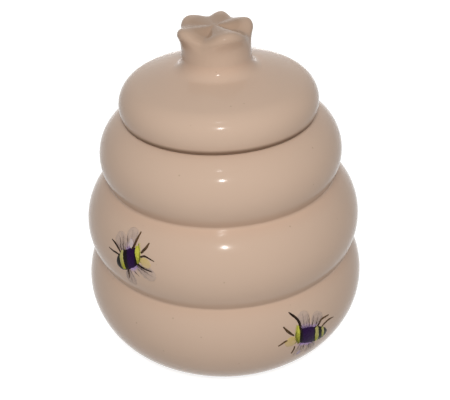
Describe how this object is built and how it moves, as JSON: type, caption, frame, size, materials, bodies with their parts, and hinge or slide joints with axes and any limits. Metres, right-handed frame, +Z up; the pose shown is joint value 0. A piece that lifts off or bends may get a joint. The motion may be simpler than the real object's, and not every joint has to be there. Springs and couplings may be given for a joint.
{
  "type": "honey pot with lift-off lid",
  "caption": "Glazed ceramic honey pot shaped like a straw beehive, with stacked round rings, a domed lift-off lid with a lobed knob, and enamelled bees.",
  "frame": {"origin": "middle of the foot ring, in the plane of the surface that the pot stands on", "axes": "+Z up along the axis of the pot, -Y is the front that the bees face, +X is the viewer's right"},
  "size_m": [0.113, 0.113, 0.1352],
  "materials": {
    "glaze_body": "glossy",
    "enamel_black": "glossy",
    "enamel_yellow": "glossy",
    "enamel_wing": "glossy",
    "enamel_brown": "glossy"
  },
  "bodies": {
    "pot": {"pot": "glaze_body", "bee_left_body": "enamel_black", "bee_left_bands": "enamel_yellow", "bee_left_wings": "enamel_wing", "bee_left_legs": "enamel_brown", "bee_right_body": "enamel_black", "bee_right_bands": "enamel_yellow", "bee_right_wings": "enamel_wing", "bee_right_legs": "enamel_brown"},
    "lid": {"lid": "glaze_body", "knob": "glaze_body"}
  },
  "joints": [
    {"name": "lid_lift", "type": "slide", "parent": "pot", "child": "lid", "axis": [0, 0, 1], "range_m": [0, 0.06]}
  ]
}
